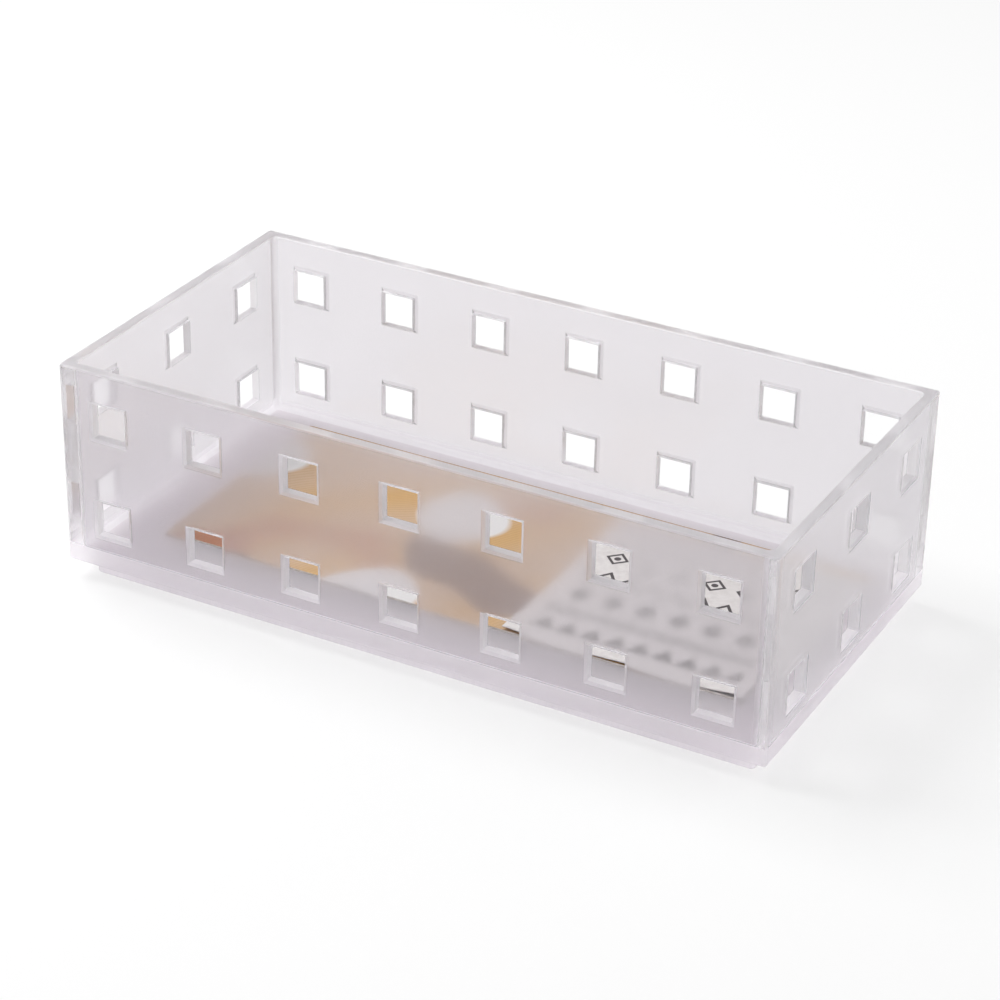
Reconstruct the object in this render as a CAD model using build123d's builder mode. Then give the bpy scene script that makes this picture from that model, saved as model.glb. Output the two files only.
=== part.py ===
from build123d import *
from math import cos, radians, sin

import os

os.makedirs("parts", exist_ok=True)

# All sizes are in millimetres. X runs along the basket, Y across it, Z is up.
# The origin is the middle of the footprint, on the surface that the foot stands on.

# Basket body
length = 150.0
width = 75.0
body_height = 42.5
wall = 2.2
floor_thickness = 2.2
outer_edge_radius = 0.4
cavity_edge_radius = 1.2
rim_edge_radius = 0.3

# Square windows, one in the middle of each cell of an even grid on every side
long_side_cells = 7
short_side_cells = 3
cell_rows = 2
window_mouth = 8.7
window_throat = 7.4
window_bevel_depth = 0.45
window_edge_radius = 0.2

# Stacking foot, a low ring under the floor that drops inside the rim of another basket
foot_height = 3.8
foot_inset = 3.7
foot_wall = 2.0
foot_corner_radius = 1.0
foot_edge_radius = 0.4

# Picture card lying loose on the floor
card_thickness = 0.5
card_left_gap = 10.8
card_right_gap = 8.8
card_front_gap = 12.5
card_back_gap = 4.3
card_corner_radius = 1.0

# Thin label sheet lying on the right-hand end of the card, its front strip curling up
label_length = 50.0
label_thickness = 0.2
label_right_gap = 0.0
label_back_gap = 3.0
label_curl_radius = 40.0
label_curl_angle = 11.0
label_front_setback = 0.0

# Levels that the sizes above lead to
body_bottom = foot_height
floor_top = body_bottom + floor_thickness
rim_top = body_bottom + body_height
cavity_length = length - 2 * wall
cavity_width = width - 2 * wall
cavity_depth = rim_top - floor_top


# Tool that cuts one window: a bevelled mouth at the outer face, then a straight throat.
# It points along +Z into the wall and starts at the outer face.
with BuildPart() as window_tool:
    with BuildSketch():
        Rectangle(window_mouth, window_mouth)
    with BuildSketch(Plane.XY.offset(window_bevel_depth)):
        Rectangle(window_throat, window_throat)
    loft()
    with BuildSketch(Plane.XY.offset(window_bevel_depth)):
        Rectangle(window_throat, window_throat)
    extrude(amount=2 * wall - window_bevel_depth)


# Hollow of the basket, rounded along its floor and up its corners
with BuildPart() as cavity:
    with BuildSketch(Plane.XY.offset(floor_top)):
        Rectangle(cavity_length, cavity_width)
    extrude(amount=cavity_depth)
    upright_edges = cavity.edges().filter_by(Axis.Z)
    floor_edges = cavity.faces().sort_by(Axis.Z)[0].edges()
    fillet(upright_edges + floor_edges, cavity_edge_radius)


def side_plane(outward, run, distance):
    """Plane on an outer face at mid height of the body, looking into the wall."""
    middle = Vector(0, 0, body_bottom + body_height / 2)
    return Plane(origin=middle + outward * distance, x_dir=run, z_dir=outward * -1)


front_plane = side_plane(Vector(0, -1, 0), Vector(1, 0, 0), width / 2)
back_plane = side_plane(Vector(0, 1, 0), Vector(1, 0, 0), width / 2)
left_plane = side_plane(Vector(-1, 0, 0), Vector(0, 1, 0), length / 2)
right_plane = side_plane(Vector(1, 0, 0), Vector(0, 1, 0), length / 2)
row_pitch = body_height / cell_rows


# The basket: one moulding with its floor, four walls and the foot ring under the floor
with BuildPart() as basket:
    with BuildSketch(Plane.XY.offset(body_bottom)):
        Rectangle(length, width)
    extrude(amount=body_height)
    outer_uprights = basket.edges().filter_by(Axis.Z)
    outer_bottom = basket.faces().sort_by(Axis.Z)[0].edges()
    fillet(outer_uprights + outer_bottom, outer_edge_radius)

    with BuildSketch():
        RectangleRounded(length - 2 * foot_inset, width - 2 * foot_inset, foot_corner_radius)
        offset(amount=-foot_wall, kind=Kind.INTERSECTION, mode=Mode.SUBTRACT)
    extrude(amount=foot_height)
    foot_underside = basket.faces().sort_by(Axis.Z)[0]
    fillet(foot_underside.outer_wire().edges(), foot_edge_radius)

    add(cavity.part, mode=Mode.SUBTRACT)

    for plane in (front_plane, back_plane):
        with Locations(plane):
            with GridLocations(length / long_side_cells, row_pitch, long_side_cells, cell_rows):
                add(window_tool.part, mode=Mode.SUBTRACT)
    for plane in (left_plane, right_plane):
        with Locations(plane):
            with GridLocations(width / short_side_cells, row_pitch, short_side_cells, cell_rows):
                add(window_tool.part, mode=Mode.SUBTRACT)

    for plane in (front_plane, back_plane, left_plane, right_plane):
        inward = Axis(plane.origin, plane.z_dir)
        outer_face = basket.faces().filter_by(inward).sort_by(inward)[0]
        mouth_edges = [edge for wire in outer_face.inner_wires() for edge in wire.edges()]
        fillet(mouth_edges, window_edge_radius)

    rim = basket.faces().sort_by(Axis.Z)[-1]
    fillet(rim.edges(), rim_edge_radius)


# The picture card, flat on the floor of the basket
card_left = -cavity_length / 2 + card_left_gap
card_right = cavity_length / 2 - card_right_gap
card_front = -cavity_width / 2 + card_front_gap
card_back = cavity_width / 2 - card_back_gap
card_top = floor_top + card_thickness

with BuildPart() as picture_card:
    with BuildSketch(Plane.XY.offset(floor_top)):
        with Locations(((card_left + card_right) / 2, (card_front + card_back) / 2)):
            RectangleRounded(card_right - card_left, card_back - card_front, card_corner_radius)
    extrude(amount=card_thickness)


# The label sheet, bent once along its front strip and laid on the card.
# Its profile is drawn across the basket and then run along it.
label_right = card_right - label_right_gap
label_front = card_front + label_front_setback
label_back = card_back - label_back_gap
curl_reach = label_curl_radius * sin(radians(label_curl_angle))
curl_start = label_front + curl_reach
curl_centre_height = card_top + label_curl_radius
lower_curl = label_curl_radius
upper_curl = label_curl_radius - label_thickness


def on_curl(radius, share):
    """Point on the curl, as (Y, Z): share 0 is where it leaves the card, 1 its free edge."""
    turn = radians(label_curl_angle * share)
    return curl_start - radius * sin(turn), curl_centre_height - radius * cos(turn)


with BuildPart() as label_sheet:
    with BuildSketch(Plane.YZ.offset(label_right - label_length)):
        with BuildLine():
            Polyline(
                on_curl(lower_curl, 0),
                (label_back, card_top),
                (label_back, card_top + label_thickness),
                on_curl(upper_curl, 0),
            )
            ThreePointArc(on_curl(upper_curl, 0), on_curl(upper_curl, 0.5), on_curl(upper_curl, 1))
            Line(on_curl(upper_curl, 1), on_curl(lower_curl, 1))
            ThreePointArc(on_curl(lower_curl, 1), on_curl(lower_curl, 0.5), on_curl(lower_curl, 0))
        make_face()
    extrude(amount=label_length)


basket.part.label = "basket"
picture_card.part.label = "picture_card"
label_sheet.part.label = "label_sheet"

export_step(basket.part, "parts/basket.step")
export_step(picture_card.part, "parts/picture_card.step")
export_step(label_sheet.part, "parts/label_sheet.step")
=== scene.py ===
from math import cos, exp, pi, radians, sin

import bpy
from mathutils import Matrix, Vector


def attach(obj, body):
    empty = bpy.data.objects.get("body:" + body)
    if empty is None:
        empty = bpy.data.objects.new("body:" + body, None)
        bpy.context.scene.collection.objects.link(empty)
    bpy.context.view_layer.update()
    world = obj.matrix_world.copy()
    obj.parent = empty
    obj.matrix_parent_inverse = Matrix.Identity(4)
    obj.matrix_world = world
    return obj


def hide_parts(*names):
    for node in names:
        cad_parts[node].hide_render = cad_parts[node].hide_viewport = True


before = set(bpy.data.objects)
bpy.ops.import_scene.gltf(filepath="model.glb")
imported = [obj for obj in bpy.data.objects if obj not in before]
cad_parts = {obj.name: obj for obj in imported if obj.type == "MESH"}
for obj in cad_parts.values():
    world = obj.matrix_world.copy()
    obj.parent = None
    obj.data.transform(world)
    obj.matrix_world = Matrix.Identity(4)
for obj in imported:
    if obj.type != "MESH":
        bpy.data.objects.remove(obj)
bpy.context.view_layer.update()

MM = 0.001

# Sizes that the looks need, as part.py has them
HALF_LENGTH = 75 * MM
HALF_WIDTH = 37.5 * MM
BODY_TOP = 46.3 * MM
WALL = 2.2 * MM
FLOOR_TOP = 6.0 * MM
CAVITY_FILLET = 1.2 * MM


class Wiring:
    """Short way to build one node tree. Sockets and plain numbers can be mixed in every call."""

    def __init__(self, tree):
        self.tree = tree
        tree.nodes.clear()

    def add(self, kind, inputs=None, **settings):
        node = self.tree.nodes.new(kind)
        for name, value in settings.items():
            setattr(node, name, value)
        for name, value in (inputs or {}).items():
            self.put(node.inputs[name], value)
        return node

    def put(self, socket, value):
        if isinstance(value, bpy.types.NodeSocket):
            self.tree.links.new(value, socket)
        else:
            socket.default_value = value

    def math(self, operation, first, second=0.0, third=0.0):
        inputs = {0: first, 1: second, 2: third}
        return self.add("ShaderNodeMath", inputs, operation=operation).outputs[0]

    def ramp(self, value, low, high, out_low=0.0, out_high=1.0):
        node = self.add("ShaderNodeMapRange", {
            "Value": value, "From Min": low, "From Max": high, "To Min": out_low, "To Max": out_high,
        })
        return node.outputs["Result"]

    def above(self, value, limit, soft):
        """0 below the limit and 1 above it, changing over a width of soft."""
        return self.ramp(value, limit - soft / 2, limit + soft / 2)

    def below(self, value, limit, soft):
        return self.ramp(value, limit - soft / 2, limit + soft / 2, 1.0, 0.0)

    def between(self, value, low, high, soft):
        return self.both(self.above(value, low, soft), self.below(value, high, soft))

    def both(self, *masks):
        result = masks[0]
        for mask in masks[1:]:
            result = self.math("MULTIPLY", result, mask)
        return result

    def either(self, *masks):
        result = masks[0]
        for mask in masks[1:]:
            result = self.math("MAXIMUM", result, mask)
        return result

    def mixed(self, factor, first, second):
        """Number that goes from first to second as factor goes from 0 to 1."""
        node = self.add("ShaderNodeMix", data_type="FLOAT")
        self.put(node.inputs[0], factor)
        self.put(node.inputs[2], first)
        self.put(node.inputs[3], second)
        return node.outputs[0]

    def blend(self, factor, first, second):
        """Colour that goes from first to second as factor goes from 0 to 1."""
        node = self.add("ShaderNodeMix", data_type="RGBA")
        self.put(node.inputs[0], factor)
        self.put(node.inputs[6], first)
        self.put(node.inputs[7], second)
        return node.outputs[2]

    def noise(self, vector, scale, detail=2.0, roughness=0.5, offset=(0.0, 0.0, 0.0)):
        moved = self.add("ShaderNodeMapping", {"Vector": vector, "Location": offset}).outputs[0]
        node = self.add("ShaderNodeTexNoise", {
            "Vector": moved, "Scale": scale, "Detail": detail, "Roughness": roughness,
        })
        return node.outputs["Fac"]

    def bump(self, height, strength, distance):
        inputs = {"Height": height, "Strength": strength, "Distance": distance}
        return self.add("ShaderNodeBump", inputs).outputs["Normal"]

    def place(self):
        """Place on the object, its X, Y and Z, and how far the surface faces up, from -1 to 1."""
        texture = self.add("ShaderNodeTexCoord").outputs
        axes = self.add("ShaderNodeSeparateXYZ", {0: texture["Object"]}).outputs
        facing = self.add("ShaderNodeSeparateXYZ", {0: texture["Normal"]}).outputs["Z"]
        return texture["Object"], axes["X"], axes["Y"], axes["Z"], facing

    def principled(self, inputs, volume=None):
        shader = self.add("ShaderNodeBsdfPrincipled", inputs)
        self.surface(shader.outputs[0], volume)

    def surface(self, shader, volume=None):
        output = self.add("ShaderNodeOutputMaterial")
        self.tree.links.new(shader, output.inputs["Surface"])
        if volume:
            self.tree.links.new(volume, output.inputs["Volume"])


def rgb(red, green, blue):
    """Screen colour, 0 to 255, as the linear colour that a shader takes."""
    def linear(value):
        value /= 255
        return value / 12.92 if value <= 0.04045 else ((value + 0.055) / 1.055) ** 2.4
    return (linear(red), linear(green), linear(blue), 1.0)


def new_material(name):
    material = bpy.data.materials.new(name)
    material.use_nodes = True
    return material, Wiring(material.node_tree)


# Frosted plastic: one moulding with several finishes.
# Roughness and clearness, the share of light that passes through, are given for each finish.

# Outer faces of the walls
POLISHED_ROUGHNESS = 0.08
POLISHED_CLEARNESS = 0.98

# Etched inside: fine etching with coarse spots in it, both too small to be told apart
FROST_FINE = 0.18
FROST_COARSE = 0.60
FROST_UNEVENNESS = 0.02
FROST_CLEARNESS = 0.95
COARSE_SPOT_LEVEL = 0.43

# Rounded corners and floor edges of the inside, and its flat floor
FILLET_ROUGHNESS = 0.60
FLOOR_ROUGHNESS = 0.50
FLOOR_CLEARNESS = 0.90

# Sides of the windows
WINDOW_ROUGHNESS = 0.45
WINDOW_CLEARNESS = 0.80
WINDOW_ZONE_BOTTOM = FLOOR_TOP + 2 * MM
WINDOW_ZONE_TOP = BODY_TOP - 4 * MM

# Rim and outer corners
EDGE_ROUGHNESS = 0.30
EDGE_CLEARNESS = 0.90
EDGE_STRIP = 0.42 * MM

# Low band outside, underside and foot
SATIN_ROUGHNESS = 0.90
SATIN_CLEARNESS = 0.95
SATIN_TOP = FLOOR_TOP + 1.4 * MM
SATIN_FADE = 0.8 * MM

PLASTIC_COLOUR = rgb(251, 248, 251)
FROST_COLOUR = rgb(231, 228, 232)
# Flat floor inside: the plastic's lilac tint, darkened further as painted shade for the shadowed
# table seen through the floor
FLOOR_TINT_AND_PAINTED_SHADE = rgb(208, 201, 206)
PLASTIC_IOR = 1.49
MILK_COLOUR = rgb(247, 243, 248)
MILK_DENSITY = 40.0
MILK_FORWARD = 0.3

# How far a zone reaches past the faces in it, and how soft its limit is
ZONE_SLACK = 0.1 * MM
ZONE_EDGE = 0.05 * MM


def frosted_plastic():
    material, wires = new_material("frosted_moulding")
    position, x, y, z, _ = wires.place()
    along = wires.math("ABSOLUTE", x)
    across = wires.math("ABSOLUTE", y)

    def within(depth):
        """1 for places that lie deeper than this behind the outer faces."""
        return wires.both(
            wires.below(along, HALF_LENGTH - depth, ZONE_EDGE),
            wires.below(across, HALF_WIDTH - depth, ZONE_EDGE),
        )

    def at_corners(depth):
        """1 for places that lie closer than this to two outer faces at once."""
        return wires.both(
            wires.above(along, HALF_LENGTH - depth, ZONE_EDGE),
            wires.above(across, HALF_WIDTH - depth, ZONE_EDGE),
        )

    cavity = wires.both(
        within(WALL - ZONE_SLACK),
        wires.between(z, FLOOR_TOP - ZONE_SLACK, BODY_TOP - 2 * ZONE_SLACK, ZONE_EDGE),
    )
    cavity_fillets = wires.both(cavity, wires.either(
        at_corners(WALL + CAVITY_FILLET),
        wires.below(z, FLOOR_TOP + CAVITY_FILLET, ZONE_EDGE),
    ))
    cavity_floor = wires.both(cavity, wires.below(z, FLOOR_TOP + ZONE_SLACK, ZONE_EDGE))
    window_sides = wires.both(
        within(0.06 * MM),
        wires.between(z, WINDOW_ZONE_BOTTOM, WINDOW_ZONE_TOP, ZONE_EDGE),
    )
    satin_band = wires.below(z, SATIN_TOP, SATIN_FADE)
    outer_edges = wires.either(
        wires.above(z, BODY_TOP - EDGE_STRIP, ZONE_EDGE),
        at_corners(EDGE_STRIP),
    )

    grain = wires.noise(position, 30000.0, detail=0.0)
    etching = wires.noise(position, 2400.0, detail=3.0, roughness=0.65)
    flow = wires.noise(position, 38.0)
    coarse_spots = wires.below(grain, COARSE_SPOT_LEVEL, 0.05)
    frost_roughness = wires.math(
        "ADD",
        wires.ramp(coarse_spots, 0.0, 1.0, FROST_FINE, FROST_COARSE),
        wires.ramp(flow, 0.3, 0.7, -FROST_UNEVENNESS, FROST_UNEVENNESS),
    )

    # Where zones overlap, the later one wins
    zones = (
        (satin_band, SATIN_ROUGHNESS, SATIN_CLEARNESS),
        (window_sides, WINDOW_ROUGHNESS, WINDOW_CLEARNESS),
        (cavity, frost_roughness, FROST_CLEARNESS),
        (cavity_fillets, FILLET_ROUGHNESS, FROST_CLEARNESS),
        (cavity_floor, FLOOR_ROUGHNESS, FLOOR_CLEARNESS),
        (outer_edges, EDGE_ROUGHNESS, EDGE_CLEARNESS),
    )
    roughness = POLISHED_ROUGHNESS
    clearness = POLISHED_CLEARNESS
    for zone, zone_roughness, zone_clearness in zones:
        roughness = wires.mixed(zone, roughness, zone_roughness)
        clearness = wires.mixed(zone, clearness, zone_clearness)

    colour = wires.blend(cavity, PLASTIC_COLOUR, FROST_COLOUR)
    # The flat floor gets a darker colour, painted shade for the table's shadow under the basket
    colour = wires.blend(cavity_floor, colour, FLOOR_TINT_AND_PAINTED_SHADE)
    milkiness = wires.add("ShaderNodeVolumeScatter", {
        "Color": MILK_COLOUR, "Density": MILK_DENSITY, "Anisotropy": MILK_FORWARD,
    })
    wires.principled({
        "Base Color": colour,
        "Roughness": roughness,
        "IOR": PLASTIC_IOR,
        "Transmission Weight": clearness,
        "Normal": wires.bump(wires.both(etching, cavity), strength=0.05, distance=0.02 * MM),
    }, milkiness.outputs[0])
    return material


# Printed card: a plain design of drifting bands, pale islands and a few speckled patches

SAND = rgb(186, 158, 130)
OCHRE = rgb(188, 150, 98)
FINE_LINE_BROWN = rgb(158, 120, 76)
CLAY = rgb(164, 112, 86)
ISLAND_WHITE = rgb(208, 206, 206)
PATCH_BROWN = rgb(104, 76, 62)
SPECKLE_BEIGE = rgb(150, 116, 98)
BOARD_DARK = rgb(204, 198, 190)
BOARD_LIGHT = rgb(222, 218, 212)

BAND_PITCH = 31 * MM
BAND_DRIFT = 34 * MM
BAND_SLANT = -0.6
FINE_LINE_PITCH = 1.1 * MM
SPECKLE_SCALE = 900.0
SPECKLE_SIZE = 0.32


def printed_card():
    material, wires = new_material("card_print")
    position, x, y, _, facing = wires.place()

    def field(scale, offset, level, soft):
        """Rounded areas where a wide noise stands above a level."""
        height = wires.noise(position, scale, detail=0.0, roughness=0.4, offset=offset)
        return wires.above(height, level, soft)

    def waves(pitch):
        return wires.math("SINE", wires.math("MULTIPLY", wave_place, 2 * pi / pitch))

    drift = wires.noise(position, 26.0, detail=1.0, roughness=0.4, offset=(0.31, 0.17, 0.0))
    slanted = wires.math("MULTIPLY_ADD", y, BAND_SLANT, x)
    wave_place = wires.math("MULTIPLY_ADD", drift, BAND_DRIFT, slanted)
    colour = wires.blend(wires.ramp(waves(BAND_PITCH), -1.0, 1.0), SAND, OCHRE)

    fine_lines = wires.ramp(waves(FINE_LINE_PITCH), 0.5, 1.0, 0.0, 0.35)
    colour = wires.blend(fine_lines, colour, FINE_LINE_BROWN)
    colour = wires.blend(field(34.0, (1.15, 0.72, 0.0), 0.66, 0.08), colour, CLAY)
    colour = wires.blend(field(30.0, (1.37, 0.23, 0.0), 0.60, 0.02), colour, ISLAND_WHITE)

    dots = wires.add("ShaderNodeTexVoronoi", {
        "Vector": position, "Scale": SPECKLE_SCALE, "Randomness": 0.5,
    })
    speckles = wires.below(dots.outputs["Distance"], SPECKLE_SIZE, 0.1)
    patches = field(42.0, (2.15, 0.45, 0.0), 0.68, 0.02)
    colour = wires.blend(patches, colour, PATCH_BROWN)
    colour = wires.blend(wires.both(patches, speckles), colour, SPECKLE_BEIGE)

    fibre = wires.noise(position, 900.0, detail=4.0, roughness=0.6)
    board = wires.blend(wires.ramp(fibre, 0.35, 0.65), BOARD_DARK, BOARD_LIGHT)
    wires.principled({
        "Base Color": wires.blend(wires.above(facing, 0.5, 0.2), board, colour),
        "Roughness": wires.ramp(fibre, 0.3, 0.7, 0.36, 0.5),
        "Normal": wires.bump(fibre, strength=0.12, distance=0.03 * MM),
    })
    return material


# Label sheet: thin paper with a plain border pattern of zigzags, diamonds and dots

LABEL_LEFT = 14 * MM
LABEL_RIGHT = 64 * MM
LABEL_FRONT = -22.8 * MM
LABEL_BACK = 28.0 * MM
LABEL_BED = 6.52 * MM
LABEL_THICKNESS = 0.16 * MM
LABEL_STEPS = 72
LABEL_MARGIN = 3 * MM

PAPER_DARK = rgb(202, 197, 196)
PAPER_LIGHT = rgb(214, 210, 209)
INK = rgb(70, 64, 66)
INK_EDGE = 0.07 * MM


def hill(value, centre, reach):
    """Bell curve that is 1 at the centre and falls away over the reach."""
    return exp(-((value - centre) / reach) ** 2)


def label_lift(x, y):
    """Height of the sheet over the card. Its front edge waves, and most at its two corners."""
    along = (x - LABEL_LEFT) / MM
    inward = (y - LABEL_FRONT) / MM
    front_wave = 0.66 * hill(along, 0, 6) + 0.38 * hill(along, 26, 6) + 0.70 * hill(along, 49, 5)
    front_fall = exp(-(inward / 8) ** 1.6)
    middle = 0.22 * hill(along, 24, 16) * hill(inward, 26, 14)
    return (front_wave * front_fall + middle) * MM


def label_sheet():
    points = []
    faces = []
    row = LABEL_STEPS + 1
    for step_y in range(row):
        y = LABEL_FRONT + (LABEL_BACK - LABEL_FRONT) * step_y / LABEL_STEPS
        for step_x in range(row):
            x = LABEL_LEFT + (LABEL_RIGHT - LABEL_LEFT) * step_x / LABEL_STEPS
            points.append((x, y, LABEL_BED + label_lift(x, y)))
    for step_y in range(LABEL_STEPS):
        for step_x in range(LABEL_STEPS):
            first = step_y * row + step_x
            faces.append((first, first + 1, first + row + 1, first + row))
    mesh = bpy.data.meshes.new("label_paper_sheet")
    mesh.from_pydata(points, [], faces)
    mesh.shade_smooth()
    sheet = bpy.data.objects.new("label_paper_sheet", mesh)
    bpy.context.scene.collection.objects.link(sheet)
    thickness = sheet.modifiers.new("thickness", "SOLIDIFY")
    thickness.thickness = LABEL_THICKNESS
    thickness.offset = 1.0
    return sheet


def label_paper():
    material, wires = new_material("label_print")
    position, x, y, _, facing = wires.place()
    fibre = wires.noise(position, 700.0, detail=5.0, roughness=0.65)
    paper = wires.blend(wires.ramp(fibre, 0.35, 0.65), PAPER_DARK, PAPER_LIGHT)

    def folded(pitch):
        """Distance along X from the nearest step of a row."""
        return wires.math("PINGPONG", x, pitch / 2)

    def away(centre):
        return wires.math("ABSOLUTE", wires.math("SUBTRACT", y, centre))

    def rule(centre, stroke):
        return wires.below(away(centre), stroke / 2, INK_EDGE)

    def zigzag(centre, height, pitch, stroke):
        ridge = wires.ramp(folded(pitch), 0.0, pitch / 2, centre - height / 2, centre + height / 2)
        gap = wires.math("ABSOLUTE", wires.math("SUBTRACT", y, ridge))
        return wires.below(gap, stroke / 2, INK_EDGE)

    def diamonds(centre, size, pitch, stroke):
        reach = wires.math("ADD", folded(pitch), away(centre))
        return wires.between(reach, size / 2 - stroke, size / 2, INK_EDGE)

    def triangles(base, height, pitch):
        """Row of filled triangles that stand on a line and point away from the front."""
        top = wires.ramp(folded(pitch), 0.0, pitch / 2, base + height, base)
        under_top = wires.below(wires.math("SUBTRACT", y, top), 0.0, INK_EDGE)
        return wires.both(under_top, wires.above(y, base, INK_EDGE))

    def dots(centre, radius, pitch):
        side = folded(pitch)
        up = away(centre)
        square = wires.math("ADD", wires.math("MULTIPLY", side, side), wires.math("MULTIPLY", up, up))
        return wires.below(wires.math("SQRT", square), radius, INK_EDGE)

    rows = wires.either(
        triangles(base=-17.5 * MM, height=4.0 * MM, pitch=5.0 * MM),
        rule(centre=-10.6 * MM, stroke=0.7 * MM),
        rule(centre=-9.0 * MM, stroke=0.7 * MM),
        diamonds(centre=-3.0 * MM, size=5.0 * MM, pitch=7.0 * MM, stroke=2.5 * MM),
        zigzag(centre=4.5 * MM, height=3.4 * MM, pitch=5.0 * MM, stroke=1.1 * MM),
        diamonds(centre=12.0 * MM, size=5.0 * MM, pitch=7.0 * MM, stroke=0.8 * MM),
        dots(centre=12.0 * MM, radius=0.7 * MM, pitch=7.0 * MM),
        zigzag(centre=19.0 * MM, height=2.8 * MM, pitch=4.0 * MM, stroke=0.9 * MM),
        dots(centre=24.0 * MM, radius=0.8 * MM, pitch=3.5 * MM),
    )
    inked = wires.both(
        rows,
        wires.between(x, LABEL_LEFT + LABEL_MARGIN, LABEL_RIGHT - LABEL_MARGIN, INK_EDGE),
        wires.above(facing, 0.5, 0.2),
    )
    wires.principled({
        "Base Color": wires.blend(inked, paper, INK),
        "Roughness": wires.ramp(fibre, 0.3, 0.7, 0.58, 0.75),
        "Normal": wires.bump(fibre, strength=0.18, distance=0.03 * MM),
    })
    return material


def give(node, material):
    """Puts one material in every slot of a CAD node."""
    for slot in node.material_slots:
        slot.material = material


give(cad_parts["basket"], frosted_plastic())
give(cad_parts["picture_card"], printed_card())

label = label_sheet()
label.data.materials.append(label_paper())
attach(label, "root")
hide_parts("label_sheet")


# Floor, light and camera

TABLE_REACH = 3.0
TABLE_LEVEL = -0.02 * MM  # just under the foot, so that the two faces don't share a plane
TABLE_PAINT = (0.92, 0.92, 0.92, 1.0)
TABLE_GLOW_SHARE = 0.6
WHITE = (1.0, 1.0, 1.0, 1.0)
WORLD_LIGHT = 0.50
LAMP_TARGET = Vector((0, 0, 0.02))


def shown_rays(wires):
    """1 for rays that should meet the white backdrop: straight, mirrored or passed through."""
    rays = wires.add("ShaderNodeLightPath").outputs
    return wires.either(rays["Is Camera Ray"], rays["Is Glossy Ray"], rays["Is Transmission Ray"])


def pale_floor():
    material, wires = new_material("floor_paint")
    paint = wires.add("ShaderNodeBsdfDiffuse", {"Color": TABLE_PAINT}).outputs[0]
    glow = wires.add("ShaderNodeEmission", {"Color": WHITE, "Strength": 1.0}).outputs[0]
    share = wires.math("MULTIPLY", shown_rays(wires), TABLE_GLOW_SHARE)
    wires.surface(wires.add("ShaderNodeMixShader", {0: share, 1: paint, 2: glow}).outputs[0])
    return material


def floor_plane():
    corners = [
        (side_x * TABLE_REACH, side_y * TABLE_REACH, TABLE_LEVEL)
        for side_x, side_y in ((-1, -1), (1, -1), (1, 1), (-1, 1))
    ]
    mesh = bpy.data.meshes.new("floor")
    mesh.from_pydata(corners, [], [(0, 1, 2, 3)])
    mesh.materials.append(pale_floor())
    plane = bpy.data.objects.new("floor", mesh)
    bpy.context.scene.collection.objects.link(plane)
    return plane


def softbox(name, place, size, watts):
    """Square lamp that shines at the middle of the basket."""
    lamp = bpy.data.lights.new(name, "AREA")
    lamp.size = size
    lamp.energy = watts
    holder = bpy.data.objects.new(name, lamp)
    holder.location = place
    holder.rotation_euler = (LAMP_TARGET - Vector(place)).to_track_quat("-Z", "Y").to_euler()
    bpy.context.scene.collection.objects.link(holder)


floor = floor_plane()

world = bpy.data.worlds.new("studio")
bpy.context.scene.world = world
world.use_nodes = True
world_wires = Wiring(world.node_tree)
background = world_wires.add("ShaderNodeBackground", {
    "Color": WHITE,
    "Strength": world_wires.ramp(shown_rays(world_wires), 0.0, 1.0, WORLD_LIGHT, 1.0),
})
world_output = world_wires.add("ShaderNodeOutputWorld")
world.node_tree.links.new(background.outputs[0], world_output.inputs["Surface"])

softbox("key_softbox", place=(-0.36, 0.00, 0.56), size=0.4, watts=3.3)
softbox("fill_softbox", place=(0.60, 0.45, 0.45), size=0.6, watts=1.2)

# The photograph's view, with the slight roll of a camera held by hand
CAMERA_PLACE = Vector((0.24226, -0.45367, 0.29787))
LOOK_AT = Vector((0.00524, -0.00812, 0.025))
CAMERA_ROLL = radians(1.105)
SENSOR_WIDTH_MM = 36.0
FOCAL_LENGTH_MM = 108.37

lens = bpy.data.cameras.new("camera")
lens.sensor_width = SENSOR_WIDTH_MM
lens.lens = FOCAL_LENGTH_MM
camera = bpy.data.objects.new("camera", lens)
turned = (LOOK_AT - CAMERA_PLACE).to_track_quat("-Z", "Y").to_matrix()
level_right = turned.col[0].copy()
level_up = turned.col[1].copy()
turned.col[0] = level_right * cos(CAMERA_ROLL) + level_up * sin(CAMERA_ROLL)
turned.col[1] = level_up * cos(CAMERA_ROLL) - level_right * sin(CAMERA_ROLL)
camera.matrix_world = turned.to_4x4()
camera.location = CAMERA_PLACE
bpy.context.scene.collection.objects.link(camera)
bpy.context.scene.camera = camera

# Clear plastic with frost behind it needs many bounces
bpy.context.scene.view_settings.view_transform = "Standard"
bpy.context.scene.cycles.max_bounces = 24
bpy.context.scene.cycles.transmission_bounces = 24
bpy.context.scene.cycles.glossy_bounces = 12
bpy.context.scene.cycles.volume_bounces = 8
